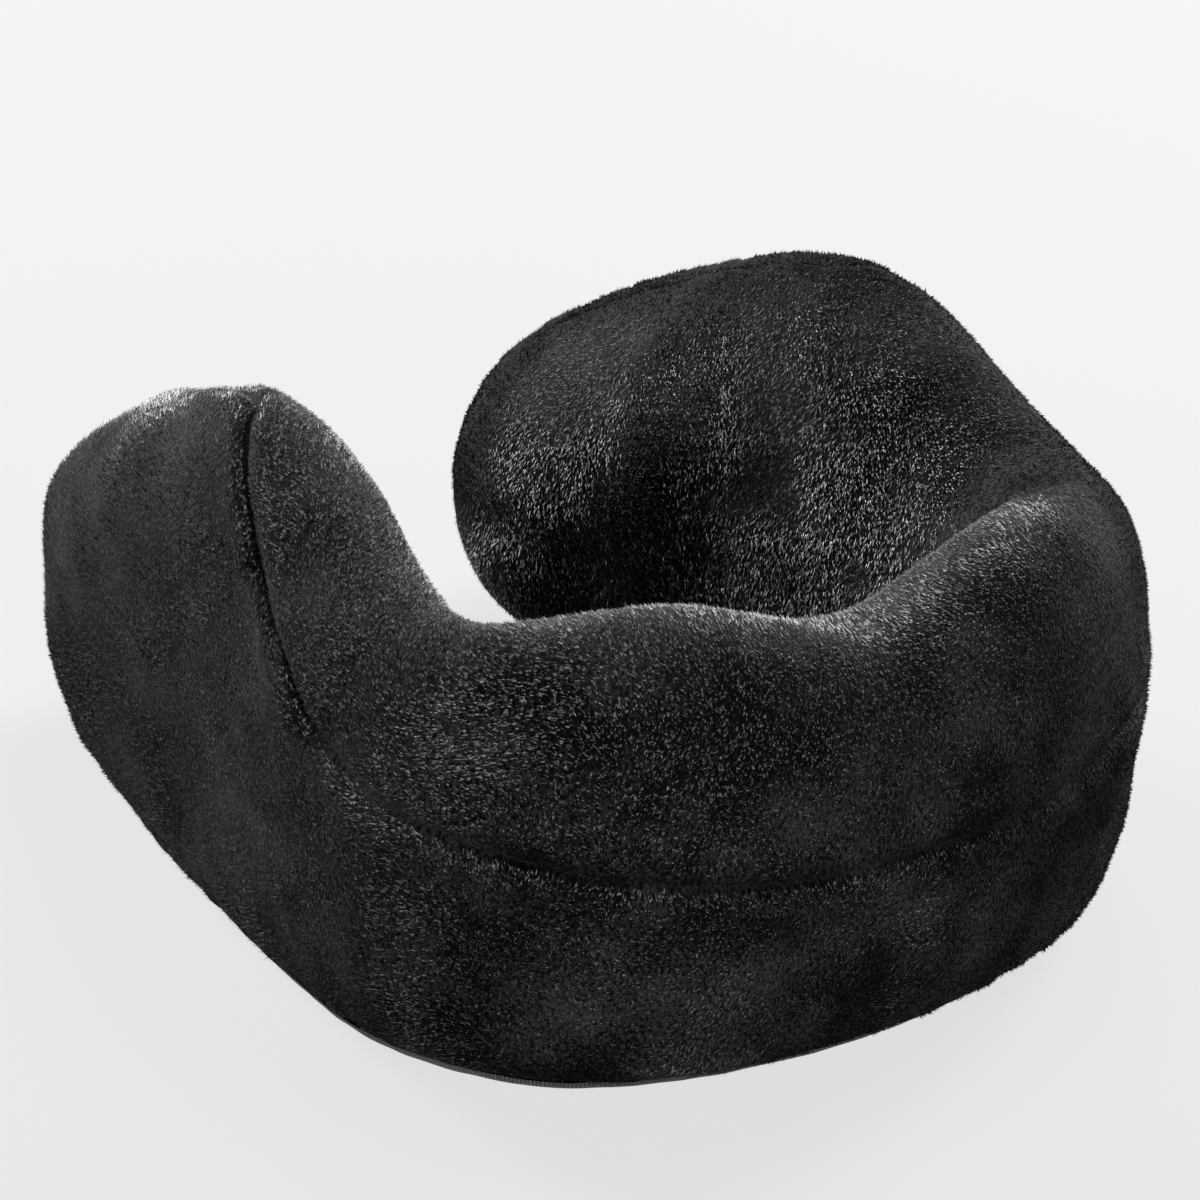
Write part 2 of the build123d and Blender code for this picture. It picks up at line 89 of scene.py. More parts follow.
SLOT_CLEARANCE = 0.8                     # the panel's cut edge stands back behind the hem
SLOT_CORNER = 2.0
TAPE_EDGE, TAPE_WIDTH = 1.2, 9.0         # from the middle of the zip
TAPE_BOTTOM, TAPE_THICKNESS = 5.2, 0.7
TAPE_COLUMNS = 26
TAPE_PAST_SLOT = 4.0                     # degrees
COIL_PITCH = 0.86                        # degrees of the zip's arc
COIL_WIRE = 0.36
COIL_OUTWARD, COIL_REACH = 1.75, 0.8     # middle and half width of the flattened helix
COIL_HEIGHT, COIL_RISE = 4.2, 0.62       # middle and half height
COIL_FROM_END = 4.0

THREAD_RADIUS = 0.3
TOP_THREAD_INSET, TOP_THREAD_FROM_TIP = 4.2, 8.0
BASE_THREAD_INSET, BASE_THREAD_FROM_TIP = 2.9, 45.0


# ------------------------------------------------------------ the pillow's surface
def arcs():
    """The centre line's arcs as (start length, end length, radius, start heading, x, y)."""
    found = []
    length, heading = 0.0, 0.0
    radius = CENTRE_LINE[0][0]
    x, y = 0.0, BACK_Y - radius
    for next_radius, end_degrees in CENTRE_LINE:
        x += (radius - next_radius) * math.sin(heading)
        y += (radius - next_radius) * math.cos(heading)
        end_heading = math.radians(end_degrees)
        end_length = length + next_radius * (end_heading - heading)
        found.append((length, end_length, next_radius, heading, x, y))
        length, heading, radius = end_length, end_heading, next_radius
    return found


ARCS = arcs()
HALF_LENGTH = ARCS[-1][1]


def spine(along):
    """Point and outward direction on the centre line, for an array of signed lengths."""
    distance = np.abs(along)
    side = np.where(along < 0, -1.0, 1.0)
    x, y, angle = np.zeros_like(distance), np.zeros_like(distance), np.zeros_like(distance)
    for start, end, radius, heading, cx, cy in ARCS:
        here = (distance >= start) & ((distance < end) | (end == HALF_LENGTH))
        turned = heading + (distance - start) / radius
        x = np.where(here, cx + radius * np.sin(turned), x)
        y = np.where(here, cy + radius * np.cos(turned), y)
        angle = np.where(here, turned, angle)
    return side * x, y, side * np.sin(angle), np.cos(angle)


def bumps(along, at, spread):
    return np.exp(-(((along - at) / spread) ** 2)) + np.exp(-(((along + at) / spread) ** 2))


def roll_profile(along):
    once = np.cos(np.pi * along / HALF_LENGTH)
    twice = np.cos(2 * np.pi * along / HALF_LENGTH)
    half_width = HALF_WIDTH + HALF_WIDTH_BACK * once + HALF_WIDTH_ENDS * twice
    crest = CREST_HEIGHT + REAR_RISE * bumps(along, REAR_RISE_AT, REAR_RISE_SPREAD)
    crest = crest + ARM_RISE * bumps(along, ARM_RISE_AT, ARM_RISE_SPREAD)
    shift = CREST_SHIFT + CREST_SHIFT_BACK * once + CREST_SHIFT_ENDS * twice
    return half_width, crest, shift


def turn_of(quarter):
    """Degrees round the section for a number of quarters, eased at each quarter's ends."""
    whole = np.floor(quarter)
    part = quarter - whole
    return 90.0 * (whole + part * part * (3 - 2 * part))


def quarter_of(turn):
    """The other way round, for turns from -90 to 360 degrees."""
    table = np.linspace(-1.0, 4.0, 2001)
    return np.interp(turn, turn_of(table), table)


def signed_power(value, power):
    return np.sign(value) * np.abs(value) ** power


def section_point(along, quarter, inset=0.0):
    """(outward, height) on the section."""
    half_width, crest, shift = roll_profile(along)
    turn = np.radians(turn_of(quarter))
    cosine, sine = np.cos(turn), np.sin(turn)
    outer, top = cosine >= 0, sine >= 0
    side_height = np.where(outer, SIDE_HEIGHT, NECK_HEIGHT_SHARE * crest)
    power_top = np.where(outer, 2 / TOP_OUTER_POWER, 2 / TOP_NECK_POWER)
    power_low = np.where(outer, 2 / BASE_OUTER_POWER, 2 / BASE_NECK_POWER)
    power = np.where(top, power_top, power_low)
    reach_up = np.where(top, crest - inset - side_height, side_height + BASE_SINK - inset)
    height = side_height + reach_up * signed_power(sine, power)
    reach = half_width - inset - np.where(outer, shift, -shift)
    outward = shift + reach * signed_power(cosine, power)
    share = np.clip((np.abs(along) - (HALF_LENGTH - TIP_LENGTH)) / (TIP_LENGTH - inset), 0, 1)
    across = (1 - share**TIP_PLAN_POWER) ** (1 / TIP_PLAN_POWER)
    upward = (1 - share**TIP_SIDE_POWER) ** (1 / TIP_SIDE_POWER)
    middle = TIP_HEIGHT_SHARE * crest
    return outward * across, middle + (height - middle) * upward


def surface(along, quarter, inset=0.0):
    """Points of the surface in millimetres, for arrays of the same shape."""
    outward, height = section_point(along, quarter, inset)
    x, y, dx, dy = spine(along)
    flat = np.maximum(height, inset)
    return np.stack([x + outward * dx, y + outward * dy, flat], axis=-1)


def seam_quarter(along):
    share = np.minimum(1.0, np.abs(along) / SEAM_OVER_AT)
    return quarter_of(SEAM_START + (SEAM_END - SEAM_START) * share**SEAM_CLIMB_POWER)


def base_quarter(along, outer, level=BASE_SEAM_HEIGHT):
    """Where the surface comes down to a level, on the outer or the neck side."""
    table = np.linspace(-1.0, 0.0, 401) if outer else np.linspace(3.0, 2.0, 401)
    found = np.empty_like(along)
    for i, length in enumerate(along):
        heights = section_point(np.full_like(table, length), table)[1]
        found[i] = np.interp(level, heights, table)
    return found


def rows_along(count, inset=0.0):
    """Signed lengths of the rows, closer together where the tips close."""
    reach = HALF_LENGTH - inset
    straight = HALF_LENGTH - TIP_LENGTH
    tip_rows = count // 7
    middle = np.linspace(-straight, straight, count - 2 * tip_rows)
    share = np.sin(np.radians(np.linspace(0, 89.4, tip_rows + 1)[1:]))
    tip = straight + (reach - straight) * share
    return np.concatenate([-tip[::-1], middle, tip])


def even_quarters(along, start, end, spacing, inset=0.0):
    """Quarters on each row from start to end, spaced evenly by arc length, and the length."""
    dense = np.linspace(0.0, 1.0, 361)
    quarters = start[:, None] + (end - start)[:, None] * dense[None, :]
    lengths = np.repeat(along[:, None], dense.size, axis=1)
    points = surface(lengths, quarters, inset)
    steps = np.linalg.norm(np.diff(points, axis=1), axis=-1) + 1e-9
    run = np.concatenate([np.zeros((along.size, 1)), np.cumsum(steps, axis=1)], axis=1)
    found = np.empty((along.size, spacing.size))
    for i in range(along.size):
        found[i] = np.interp(spacing * run[i, -1], run[i], quarters[i])
    return found, run[:, -1]


def normals_of(points):
    """Outward unit normals of a grid of points."""
    across = np.gradient(points, axis=0)
    round_ = np.gradient(points, axis=1)
    normal = np.cross(round_, across)
    size = np.linalg.norm(normal, axis=-1, keepdims=True)
    return normal / np.maximum(size, 1e-9)


class Ripple:
    """A smooth random field: a sum of sine waves of about one wavelength (mm)."""

    def __init__(self, wavelength, waves=22, stretch=(1, 1, 1)):
        direction = RNG.normal(size=(waves, 3))
        direction /= np.linalg.norm(direction, axis=1, keepdims=True)
        size = 2 * np.pi / (wavelength * RNG.uniform(0.7, 1.5, size=(waves, 1)))
        self.vectors = direction * size / np.array(stretch)
        self.phases = RNG.uniform(0, 2 * np.pi, waves)
        self.scale = math.sqrt(2.0 / waves)

    def __call__(self, points):
        total = np.zeros(points.shape[:-1])
        for vector, phase in zip(self.vectors, self.phases):
            total += np.sin(points @ vector + phase)
        return total * self.scale


FOLDS = Ripple(62.0)
WAVES = Ripple(24.0)
PUCKER = Ripple(9.0)
NAP = Ripple(3.4)


# ------------------------------------------------------------ panels
def dents(along, quarter):
    """Soft hollows that hands and packing leave in the foam."""
    places = [(238, 0.35, 20, 0.30, 1.5), (222, -0.25, 24, 0.30, 1.2), (-60, 1.6, 26, 0.4, 0.8)]
    total = np.zeros_like(along)
    for at, turn, reach, spread, depth in places:
        total += depth * np.exp(-(((along - at) / reach) ** 2) - ((quarter - turn) / spread) ** 2)
    return total


def seam_relief(points, distance, depth, width, swell):
    """Height off the smooth surface at a distance from a seam."""
    strength = np.clip(1 + 0.16 * WAVES(points) + 0.12 * PUCKER(points), 0.6, 1.3)
    ditch = -depth * np.exp(-((distance / width) ** 1.6)) * strength
    roll = swell * ROLL_HEIGHT * np.exp(-(((distance - ROLL_AT) / ROLL_WIDTH) ** 2))
    gathers = 0.28 * PUCKER(points) * np.exp(-((distance / 9.0) ** 2))
    return ditch + roll + gathers


def column_spacing(count, power=1.35):
    """Shares from 0 to 1, closer together at both ends."""
    share = np.linspace(-1, 1, count)
    turn = np.pi / 2 * np.sign(share) * np.abs(share) ** (1 / power) * END_EASING
    return 0.5 + 0.5 * np.sin(turn) / math.sin(np.pi / 2 * END_EASING)


def grid_mesh(name, points, uv):
    """A mesh object from a grid of points in millimetres."""
    rows, columns = points.shape[:2]
    index = np.arange(rows * columns).reshape(rows, columns)
    quads = np.stack([index[:-1, :-1], index[1:, :-1], index[1:, 1:], index[:-1, 1:]], axis=-1)
    return mesh_object(name, points.reshape(-1, 3) * MM, quads.reshape(-1, 4), uv.reshape(-1, 2))


def mesh_object(name, vertices, faces, uv=None):
    mesh = bpy.data.meshes.new(name)
    mesh.vertices.add(len(vertices))
    mesh.vertices.foreach_set("co", np.ascontiguousarray(vertices, np.float32).ravel())
    corners = faces.shape[1]
    mesh.loops.add(faces.size)
    mesh.loops.foreach_set("vertex_index", faces.astype(np.int32).ravel())
    mesh.polygons.add(len(faces))
    mesh.polygons.foreach_set("loop_start", np.arange(0, faces.size, corners, dtype=np.int32))
    mesh.update(calc_edges=True)
    mesh.polygons.foreach_set("use_smooth", np.ones(len(faces), bool))
    if uv is not None:
        layer = mesh.uv_layers.new(name="cloth")
        layer.data.foreach_set("uv", uv[faces.ravel()].astype(np.float32).ravel())
    mesh.validate()
    piece = bpy.data.objects.new(name, mesh)
    bpy.context.scene.collection.objects.link(piece)
    return piece


def panel(name, start_of, end_of, rows, columns, start_seam, end_seam):
    """One cloth panel between two seams; each seam is (depth, width, swell)."""
    along = rows_along(rows)
    spacing = column_spacing(columns)
    start, end = start_of(along), end_of(along)
    quarters, lengths = even_quarters(along, start, end, spacing)
    grid = np.repeat(along[:, None], columns, axis=1)
    points = surface(grid, quarters)
    normal = normals_of(points)
    from_start = spacing[None, :] * lengths[:, None]
    from_end = lengths[:, None] - from_start
    height = seam_relief(points, from_start, *start_seam)
    height += seam_relief(points, from_end, *end_seam)
    free = np.clip((points[..., 2] - 1.0) / FLAT_RISE, 0.0, 1.0)
    height += free * (0.45 * FOLDS(points) + 0.16 * WAVES(points) - dents(grid, quarters))
    height += 0.05 * NAP(points) * free
    closing = np.clip(lengths[:, None] / CLOSING_LENGTH, 0.0, 1.0)
    points = points + normal * (height * closing)[..., None]
    points[..., 2] = np.maximum(points[..., 2], 0.05)
    uv = np.stack([grid * MM, (from_start + start[:, None] * 40.0) * MM], axis=-1)
    hem_start = points[:, :1] - normal[:, :1] * HEM_DEPTH * closing[:, :1, None]
    hem_end = points[:, -1:] - normal[:, -1:] * HEM_DEPTH * closing[:, -1:, None]
    points = np.concatenate([hem_start, points, hem_end], axis=1)
    uv = np.concatenate([uv[:, :1], uv, uv[:, -1:]], axis=1)
    return grid_mesh(name, points, uv), points[:, 1:-1], uv[:, 1:-1] / MM


def outer_base(along):
    return base_quarter(along, True)


def neck_base(along):
    return base_quarter(along, False)


def scatter(points, cloth):
    """Random places on a panel: root, normal, tangent down the row, and place on the cloth."""
    normal = normals_of(points)[:-1, :-1]
    across = points[1:, :-1] - points[:-1, :-1]
    down = points[:-1, 1:] - points[:-1, :-1]
    reach = cloth[:-1, :-1, 1]
    from_seam = np.minimum(reach - reach[:, :1], reach[:, -1:] - reach)
    area = np.linalg.norm(np.cross(across, down), axis=-1) * (from_seam > SEAM_BARE)
    count = int(area.sum() * PILE_DENSITY)
    chosen = RNG.choice(area.size, count, p=area.ravel() / area.sum())
    u, v = RNG.uniform(size=(2, count, 1))
    across, down = across.reshape(-1, 3)[chosen], down.reshape(-1, 3)[chosen]
    root = points[:-1, :-1].reshape(-1, 3)[chosen] + u * across + v * down
    tangent = down / np.maximum(np.linalg.norm(down, axis=1, keepdims=True), 1e-6)
    ground = cloth[:-1, :-1].reshape(-1, 2)[chosen]
    ground = ground + u * (cloth[1:, :-1] - cloth[:-1, :-1]).reshape(-1, 2)[chosen]
    ground = ground + v * (cloth[:-1, 1:] - cloth[:-1, :-1]).reshape(-1, 2)[chosen]
    return root, normal.reshape(-1, 3)[chosen], tangent, ground


def gather_into_rows(root, tangent, side, ground):
    """The roots moved most of the way onto the nearest knitted row."""
    slant = np.array([math.cos(PILE_ROW_TURN), math.sin(PILE_ROW_TURN)])
    level = ground @ slant + 0.5 * PUCKER(root)
    to_row = (np.round(level / PILE_ROW) * PILE_ROW - level)[:, None]
    shift = to_row * RNG.uniform(0.6, 1.0, (len(root), 1))
    return root + shift * (math.sin(PILE_ROW_TURN) * tangent - math.cos(PILE_ROW_TURN) * side)


def pile(name, points, cloth):
    """Short leaning fibres of the plush in knitted rows, each one thin triangle."""
    root, normal, tangent, ground = scatter(points, cloth)
    count = len(root)
    side = np.cross(normal, tangent)
    root = gather_into_rows(root, tangent, side, ground)
    swirl = (0.75 + 0.45 * FOLDS(root) + 0.25 * WAVES(root) + RNG.normal(0, 0.25, count))[:, None]
    lean = np.cos(swirl) * tangent + np.sin(swirl) * side
    size = FIBRE_LENGTH * RNG.uniform(0.6, 1.35, (count, 1))
    rise = RNG.uniform(0.25, 0.7, (count, 1))
    tip = root + size * (rise * normal + np.sqrt(1 - rise**2) * lean)
    edge = np.cross(normal, lean) * FIBRE_WIDTH / 2
    foot = root - FIBRE_SINK * normal
    vertices = np.stack([foot - edge, foot + edge, tip], axis=1)
    vertices[..., 2] = np.maximum(vertices[..., 2], 0.1)
    faces = np.arange(3 * count).reshape(-1, 3)
    return mesh_object(name, vertices.reshape(-1, 3) * MM, faces)


def cover_panels():
    top_seam = (DITCH_DEPTH, DITCH_WIDTH, 1.0)
    base_seam = (BASE_DITCH_DEPTH, BASE_DITCH_WIDTH, 0.0)
    top, *top_cloth = panel("cover_top", seam_quarter, neck_base, 620, 300, top_seam, base_seam)
    band, *band_cloth = panel("cover_band", outer_base, seam_quarter, 620, 170, base_seam, top_seam)
    fibres = [pile("cover_top_pile", *top_cloth), pile("cover_band_pile", *band_cloth)]
    return top, band, fibres


# ------------------------------------------------------------ the base panel and its slot
def on_zip(turn, outward, height):
    """Points on the zip's arc for arrays of degrees, outward offset and height."""
    radians = np.radians(turn)
    radius = ZIP_RADIUS + outward
    return np.stack(
        [radius * np.sin(radians), ZIP_CENTRE_Y + radius * np.cos(radians), height], axis=-1
    )


def zip_place(points):
    """Outward offset from the zip's arc and length along it."""
    x, y = points[..., 0], points[..., 1] - ZIP_CENTRE_Y
    return np.hypot(x, y) - ZIP_RADIUS, np.arctan2(x, y) * ZIP_RADIUS


def base_panel(rows=560, columns=90):
    reach = rows_along(4001)
    lowest = section_point(reach, np.full_like(reach, 3.0))[1]
    limit = reach[lowest < BASE_SEAM_HEIGHT].max()
    along = np.sin(np.linspace(-np.pi / 2, np.pi / 2, rows)) * limit
    along = 0.35 * along + 0.65 * np.linspace(-limit, limit, rows)
    spacing = column_spacing(columns, 1.1)
    quarters, lengths = even_quarters(along, neck_base(along), 4 + outer_base(along), spacing)
    grid = np.repeat(along[:, None], columns, axis=1)
    points = surface(grid, quarters)
    edge = np.minimum(spacing[None, :], 1 - spacing[None, :]) * lengths[:, None]
    lifted = 0.25 + 0.12 * WAVES(points) + 0.1 * PUCKER(points) * np.exp(-((edge / 8.0) ** 2))
    points[..., 2] += np.clip(lifted, 0.05, 1.0)
    points[..., 2] += BASE_DITCH_DEPTH * 0.6 * np.exp(-((edge / BASE_DITCH_WIDTH) ** 1.6))
    return open_slot(points, grid, spacing, lengths)


def open_slot(points, grid, spacing, lengths):
    """The base panel's grid with the zip's slot pushed open."""
    offset, run = zip_place(points)
    half_width = SLOT_HALF_WIDTH + SLOT_CLEARANCE
    half_run = math.radians(ZIP_HALF_ANGLE) * ZIP_RADIUS + SLOT_CLEARANCE
    inside = (np.abs(offset) < half_width) & (np.abs(run) < half_run)
    end_nearer = half_run - np.abs(run) < half_width - np.abs(offset)
    new_offset = np.where(inside & ~end_nearer, np.sign(offset) * half_width, offset)
    new_run = np.where(inside & end_nearer, np.sign(run) * half_run, run)
    moved = on_zip(np.degrees(new_run / ZIP_RADIUS), new_offset, points[..., 2])
    points = np.where(inside[..., None], moved, points)
    rows, columns = inside.shape
    index = np.arange(rows * columns).reshape(rows, columns)
    quads = np.stack([index[:-1, :-1], index[:-1, 1:], index[1:, 1:], index[1:, :-1]], axis=-1)
    quads = quads.reshape(-1, 4)
    quads = quads[~inside.ravel()[quads].all(axis=1)]
    uv = np.stack([grid, spacing[None, :] * lengths[:, None]], axis=-1) * MM
    return mesh_object("cover_base", points.reshape(-1, 3) * MM, quads, uv.reshape(-1, 2))


def slot_outline(grow, count=360):
    """Degrees and outward offset round the slot's edge, with rounded corners."""
    corner = SLOT_CORNER + grow
    half_run = math.radians(ZIP_HALF_ANGLE) * ZIP_RADIUS + grow
    half_width = SLOT_HALF_WIDTH + grow
    turns, outwards = [], []
    for sx, sy, start in ((1, 1, 0), (-1, 1, 90), (-1, -1, 180), (1, -1, 270)):
        for angle in np.radians(np.linspace(start, start + 90, 12)):
            turns.append(sx * (half_run - corner) + corner * math.cos(angle))
            outwards.append(sy * (half_width - corner) + corner * math.sin(angle))
    turns, outwards = np.array(turns + turns[:1]), np.array(outwards + outwards[:1])
    run = np.concatenate([[0], np.cumsum(np.hypot(np.diff(turns), np.diff(outwards)))])
    even = np.linspace(0, run[-1], count)
    return np.degrees(np.interp(even, run, turns) / ZIP_RADIUS), np.interp(even, run, outwards)


def slot_hem():
    """The cover's turned hem round the slot: a soft fold, then a wall up to the tapes."""
    fold = [(2.4, 0.9), (1.7, 0.45), (1.0, 0.2), (0.4, 0.35), (0.08, 0.9)]
    wall = [(0.0, 2.0), (0.0, 5.15)]
    profile = fold + wall
    rings = []
    for grow, height in profile:
        turns, outwards = slot_outline(grow)
        rings.append(on_zip(turns, outwards, np.full_like(turns, height)))
    points = np.stack(rings, axis=1)
    points[..., 2] += 0.06 * PUCKER(points * 1.6)
    share = np.linspace(0, 0.6, points.shape[0])[:, None] + np.zeros((1, len(profile)))
    uv = np.stack([share, np.tile(np.linspace(0, 0.008, len(profile)), (len(share), 1))], axis=-1)
    return grid_mesh("zip_slot_hem", points, uv)


# ------------------------------------------------------------ what is inside
def inner_roll(name, inset, rows, columns):
    """The liner or the core: a closed roll with the step above the zip."""
    along = rows_along(rows, inset)
    quarters, lengths = even_quarters(
        along, np.full_like(along, -1.0), np.full_like(along, 3.0), np.linspace(0, 1, columns), inset
    )
    grid = np.repeat(along[:, None], columns, axis=1)
    points = surface(grid, quarters, inset)
    points[:, -1] = points[:, 0]
    offset, run = zip_place(points)
    above = np.abs(run) < math.radians(RELIEF_HALF_ANGLE) * ZIP_RADIUS
    stepped = np.maximum(points[..., 2], RELIEF_TOP + inset - LINER_INSET)
    points[..., 2] = np.where(above, stepped, points[..., 2])
    uv = np.stack([grid, np.linspace(0, 1, columns)[None, :] * lengths[:, None]], axis=-1) * MM
    return grid_mesh(name, points, uv)


def tube(name, path, radius, sides=6, plies=0, pitch=3.0):
    """A round cord along points in millimetres, with plies twisted round it."""
    step = np.gradient(path, axis=0)
    step /= np.linalg.norm(step, axis=1, keepdims=True)
    side = np.cross(step, np.array([0.0, 0.0, 1.0]))
    side /= np.maximum(np.linalg.norm(side, axis=1, keepdims=True), 1e-6)
    up = np.cross(side, step)
    run = np.concatenate([[0], np.cumsum(np.linalg.norm(np.diff(path, axis=0), axis=1))])
    angle = np.linspace(0, 2 * np.pi, sides + 1)[None, :]
    size = radius * (1 + 0.18 * np.cos(plies * angle + 2 * np.pi * run[:, None] / pitch))
    if plies == 0:
        size = np.full((len(path), sides + 1), radius)
    ring = side[:, None] * np.cos(angle)[..., None] + up[:, None] * np.sin(angle)[..., None]
    points = path[:, None] + ring * size[..., None]
    uv = np.stack([np.tile(run[:, None], (1, sides + 1)), angle + np.zeros((len(run), 1))], axis=-1)
    return grid_mesh(name, points, uv * MM)


def top_thread():
    end = HALF_LENGTH - TOP_THREAD_FROM_TIP
    along = np.linspace(-end, end, 900)
    path = surface(along, seam_quarter(along), TOP_THREAD_INSET)
    return tube("top_thread", path, THREAD_RADIUS, 8, 2)


def base_thread(name, outer):
    end = HALF_LENGTH - BASE_THREAD_FROM_TIP
    along = np.linspace(-end, end, 700)
    path = surface(along, base_quarter(along, outer), BASE_THREAD_INSET)
    return tube(name, path, THREAD_RADIUS, 8, 2)


# ------------------------------------------------------------ the zip's soft parts
def zip_tape(name, side):
    """A woven tape: a thin ribbed strip beside the middle of the zip."""
    end = ZIP_HALF_ANGLE + TAPE_PAST_SLOT
    turn = np.linspace(-end, end, 900)[:, None]
    across = np.linspace(TAPE_EDGE, TAPE_EDGE + TAPE_WIDTH, TAPE_COLUMNS)
    lower = TAPE_BOTTOM + 0.05 * np.cos(np.arange(TAPE_COLUMNS) * np.pi)
    upper = np.full(TAPE_COLUMNS, TAPE_BOTTOM + TAPE_THICKNESS)
    ring = np.concatenate([across, across[::-1], across[:1]])
    height = np.concatenate([lower, upper, lower[:1]])
    points = on_zip(turn + 0 * ring, side * ring[None, :], height[None, :] + 0 * turn)
    uv = np.stack([np.radians(turn) * ZIP_RADIUS + 0 * ring, ring[None, :] + 0 * turn], axis=-1)
    if side > 0:
        points, uv = points[:, ::-1], uv[:, ::-1]
    return grid_mesh(name, points, uv * MM)


def zip_coil(name, side):
    """One row of the coil zip: a flattened helix sewn along the tape's edge."""
    half = ZIP_HALF_ANGLE - COIL_FROM_END / math.radians(ZIP_RADIUS)
    loops = int(2 * half / COIL_PITCH)
    angle = np.linspace(0, 2 * np.pi * loops, loops * 18)
    turn = -half + COIL_PITCH * (angle / (2 * np.pi) + 0.25 * side)
    outward = side * (COIL_OUTWARD - COIL_REACH * np.cos(angle))
    height = COIL_HEIGHT + COIL_RISE * np.sin(angle)
    return tube(name, on_zip(turn, outward, height), COIL_WIRE, 7)


top, band, fibres = cover_panels()
base, hem = base_panel(), slot_hem()
liner, core = inner_roll("liner", LINER_INSET, 300, 200), inner_roll("core", FOAM_INSET, 300, 200)
threads = [
    top_thread(),
    base_thread("base_thread_outer", True),
    base_thread("base_thread_neck", False),
]
tapes = [zip_tape("tape_outer", 1), zip_tape("tape_inner", -1)]
coils = [zip_coil("coil_outer", 1), zip_coil("coil_inner", -1)]


# ------------------------------------------------------------ materials
class Nodes:
    """A short way to write a material's nodes."""

    def __init__(self, name):
        self.material = bpy.data.materials.new(name)
        self.material.use_nodes = True
        self.tree = self.material.node_tree
        self.shader = self.tree.nodes["Principled BSDF"]

    def add(self, kind, inputs=None, **settings):
        node = self.tree.nodes.new(kind)
        for key, value in settings.items():
            setattr(node, key, value)
        for key, value in (inputs or {}).items():
            self.put(node, key, value)
        return node

    def put(self, node, key, value):
        socket = node.inputs[key]
        if isinstance(value, bpy.types.NodeSocket):
            self.tree.links.new(value, socket)
        else:
            socket.default_value = value

    def set(self, **values):
        for key, value in values.items():
            self.put(self.shader, key.replace("_", " "), value)

    def ramp(self, value, low, high, colours):
        node = self.add("ShaderNodeValToRGB", {"Fac": value})
        for element, place, colour in zip(node.color_ramp.elements, (low, high), colours):
            element.position = place
            element.color = (*colour, 1.0)
        return node.outputs["Color"]

    def bump(self, height, strength, distance):
        node = self.add("ShaderNodeBump", {"Height": height, "Strength": strength})
        node.inputs["Distance"].default_value = distance
        return node.outputs["Normal"]

    def noise(self, vector, scale, detail=3.0, rough=0.6):
        node = self.add("ShaderNodeTexNoise", {"Vector": vector, "Scale": scale})
        node.inputs["Detail"].default_value = detail
        node.inputs["Roughness"].default_value = rough
        return node.outputs["Fac"]

    def scaled(self, vector, scale, turn=0.0):
        node = self.add("ShaderNodeMapping", {"Vector": vector})
        node.inputs["Scale"].default_value = scale
        node.inputs["Rotation"].default_value = (0, 0, turn)
        return node.outputs["Vector"]

    def place(self):
        return self.add("ShaderNodeTexCoord").outputs["Object"]

    def cloth_uv(self):
        return self.add("ShaderNodeUVMap", uv_map="cloth").outputs["UV"]


def plush_material():
    """The ground of the plush: near-black worm-like grains in rows, with painted shade in the
    hollows between grains and a painted highlight on their tops, under a faint sheen.
    """
    n = Nodes("cover_plush")
    place, uv = n.place(), n.cloth_uv()
    patches = n.noise(place, 30.0, 3.0)
    grain = n.noise(n.scaled(uv, (1500.0, 700.0, 1.0), -0.95), 1.0, 2.0, 0.55)
    shade = n.add("ShaderNodeMath", {0: grain, 1: patches}, operation="MULTIPLY")
    # painted shade and highlight: the colour follows the grain that also makes the bump, black in
    # its hollows and lighter on its tops
    colour = n.ramp(shade.outputs[0], 0.20, 0.42, [(0.0008,) * 3, (0.05, 0.05, 0.0505)])
    n.set(Base_Color=colour, Roughness=0.8, Sheen_Weight=0.06, Sheen_Roughness=0.3)
    n.set(Sheen_Tint=(0.60, 0.60, 0.61, 1.0), Specular_IOR_Level=0.1)
    n.set(Normal=n.bump(grain, 1.0, 0.0010))
    return n.material


def fibre_material():
    """Fibres of the plush: black to grey along a lock, the grey being painted sheen on a near-black
    pile, with a satin glint from the shader on top.
    """
    n = Nodes("cover_fibres")
    tone_and_painted_sheen = n.noise(n.place(), 1100.0, 1.0)
    # painted sheen: the grey end of the fibres' colour stands in for the plush's glint, the pile
    # itself being near black
    n.set(Base_Color=n.ramp(tone_and_painted_sheen, 0.42, 0.72, [(0.003,) * 3, (0.34, 0.34, 0.342)]))
    n.set(Roughness=0.4, Specular_IOR_Level=0.3, Sheen_Weight=0.25, Sheen_Roughness=0.25)
    return n.material


def knit_material(name, dark, light, pitch, sheen, depth):
    """Fine knit or weave: two crossed rows of loops with a little variation."""
    n = Nodes(name)
    uv = n.cloth_uv()
    wales = n.add("ShaderNodeTexWave", {"Vector": uv, "Scale": 0.5 / pitch, "Distortion": 0.4})
    rows = n.add("ShaderNodeTexWave", {"Vector": uv, "Scale": 0.5 / pitch, "Distortion": 0.4})
    rows.bands_direction = "Y"
    weave = n.add("ShaderNodeMath", {0: wales.outputs["Fac"], 1: rows.outputs["Fac"]})
    weave.operation = "MULTIPLY"
    mottle = n.noise(n.place(), 60.0, 4.0)
    shade = n.add("ShaderNodeMath", {0: mottle, 1: weave.outputs[0]}, operation="ADD").outputs[0]
    n.set(Base_Color=n.ramp(shade, 0.3, 1.2, [dark, light]), Roughness=0.85)
    n.set(Sheen_Weight=sheen, Sheen_Roughness=0.45, Specular_IOR_Level=0.2)
    n.set(Normal=n.bump(weave.outputs[0], 0.7, depth))
    return n.material


